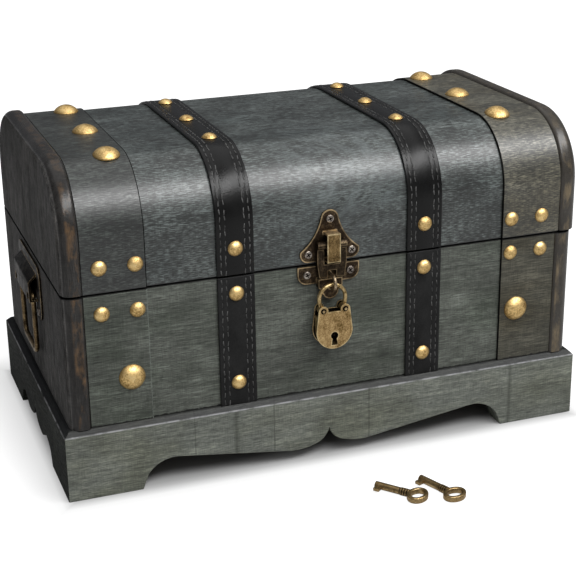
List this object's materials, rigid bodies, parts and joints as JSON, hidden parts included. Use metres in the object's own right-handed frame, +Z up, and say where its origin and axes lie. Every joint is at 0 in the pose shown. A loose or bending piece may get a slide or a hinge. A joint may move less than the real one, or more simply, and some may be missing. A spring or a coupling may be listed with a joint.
{
  "type": "treasure chest box",
  "caption": "Small wooden treasure chest with a curved hinged lid, leather straps, brass tacks, a padlocked hasp, end handles, a scalloped plinth and loose keys.",
  "frame": {"origin": "on the floor, under the middle of the plinth", "axes": "+X to the right along the chest, +Y to the back, +Z up"},
  "size_m": [0.3032, 0.2564, 0.181],
  "materials": {
    "panel_wood": "satin stain, slate green",
    "band_wood": "satin stain, slate green",
    "end_wood": "dark stain with worn golden-brown bead edges",
    "plinth_wood": "satin stain with a worn pale top bevel",
    "floor_wood": "plain",
    "strap_leather": "satin, black, stitched rows",
    "tack_brass": "satin",
    "hasp_bronze": "antique",
    "screw_steel": "black oxide",
    "key_bronze": "antique"
  },
  "bodies": {
    "chest": {"box_front": "panel_wood", "box_back": "panel_wood", "box_band_left": "band_wood", "box_band_right": "band_wood", "box_end_left": "end_wood", "box_end_right": "end_wood", "plinth_front": "plinth_wood", "plinth_back": "plinth_wood", "plinth_left": "plinth_wood", "plinth_right": "plinth_wood", "box_floor": "floor_wood", "box_strap_left": "strap_leather", "box_strap_right": "strap_leather", "box_tacks_small": "tack_brass", "box_tacks_large": "tack_brass", "hinge_leaf_box_left": "hasp_bronze", "hinge_leaf_box_right": "hasp_bronze", "hinge_pin_left": "hasp_bronze", "hinge_pin_right": "hasp_bronze", "staple_plate": "hasp_bronze", "staple": "hasp_bronze", "handle_plate_left": "hasp_bronze", "handle_plate_right": "hasp_bronze", "staple_screws": "screw_steel", "hinge_screws_box": "screw_steel", "handle_screws_left": "screw_steel", "handle_screws_right": "screw_steel"},
    "lid": {"lid_skin_panel": "panel_wood", "lid_end_left": "end_wood", "lid_end_right": "end_wood", "lid_band_left": "band_wood", "lid_band_right": "band_wood", "lid_strap_left": "strap_leather", "lid_strap_right": "strap_leather", "lid_tacks_small": "tack_brass", "lid_tacks_large": "tack_brass", "hasp_plate": "hasp_bronze", "hasp_screws": "screw_steel", "hinge_leaf_lid_left": "hasp_bronze", "hinge_leaf_lid_right": "hasp_bronze", "hinge_screws_lid": "screw_steel"},
    "hasp": {"hasp_arm": "hasp_bronze"},
    "padlock_shackle": {"padlock_shackle": "hasp_bronze"},
    "padlock_case": {"padlock_front_plate": "hasp_bronze", "padlock_back_plate": "hasp_bronze", "padlock_rim": "hasp_bronze", "padlock_rivets": "hasp_bronze", "padlock_latch_pivot": "hasp_bronze", "padlock_key_pin": "hasp_bronze"},
    "padlock_latch": {"padlock_latch": "hasp_bronze"},
    "bail_left": {"handle_bail_left": "hasp_bronze"},
    "bail_right": {"handle_bail_right": "hasp_bronze"},
    "key_first": {"key_first": "key_bronze"},
    "key_second": {"key_second": "key_bronze"}
  },
  "joints": [
    {"name": "lid_hinge", "type": "hinge", "parent": "chest", "child": "lid", "pos_m": [0, 0.0889, 0.1129], "axis": [-1, 0, 0], "range_deg": [0, 100]},
    {"name": "hasp_swing", "type": "hinge", "parent": "lid", "child": "hasp", "pos_m": [-0.0012, -0.0897, 0.124], "axis": [-1, 0, 0], "range_deg": [0, 110]},
    {"name": "padlock_swing", "type": "hinge", "parent": "chest", "child": "padlock_shackle", "pos_m": [-0.0027, -0.094, 0.103], "axis": [-1, 0, 0], "range_deg": [0, 50]},
    {"name": "padlock_open", "type": "hinge", "parent": "padlock_shackle", "child": "padlock_case", "pos_m": [-0.00895, -0.094, 0.0898], "axis": [0, 1, 0], "range_deg": [0, 50]},
    {"name": "latch_turn", "type": "hinge", "parent": "padlock_case", "child": "padlock_latch", "pos_m": [-0.0057, -0.094, 0.0816], "axis": [0, 1, 0], "range_deg": [0, 10]},
    {"name": "bail_left_swing", "type": "hinge", "parent": "chest", "child": "bail_left", "pos_m": [-0.1487, 0, 0.0913], "axis": [0, 1, 0], "range_deg": [0, 90]},
    {"name": "bail_right_swing", "type": "hinge", "parent": "chest", "child": "bail_right", "pos_m": [0.1487, 0, 0.0913], "axis": [0, -1, 0], "range_deg": [0, 90]},
    {"name": "key_first_lift", "type": "slide", "parent": "chest", "child": "key_first", "axis": [0, 0, 1], "range_m": [0, 0.05]},
    {"name": "key_second_lift", "type": "slide", "parent": "chest", "child": "key_second", "axis": [0, 0, 1], "range_m": [0, 0.05]}
  ]
}
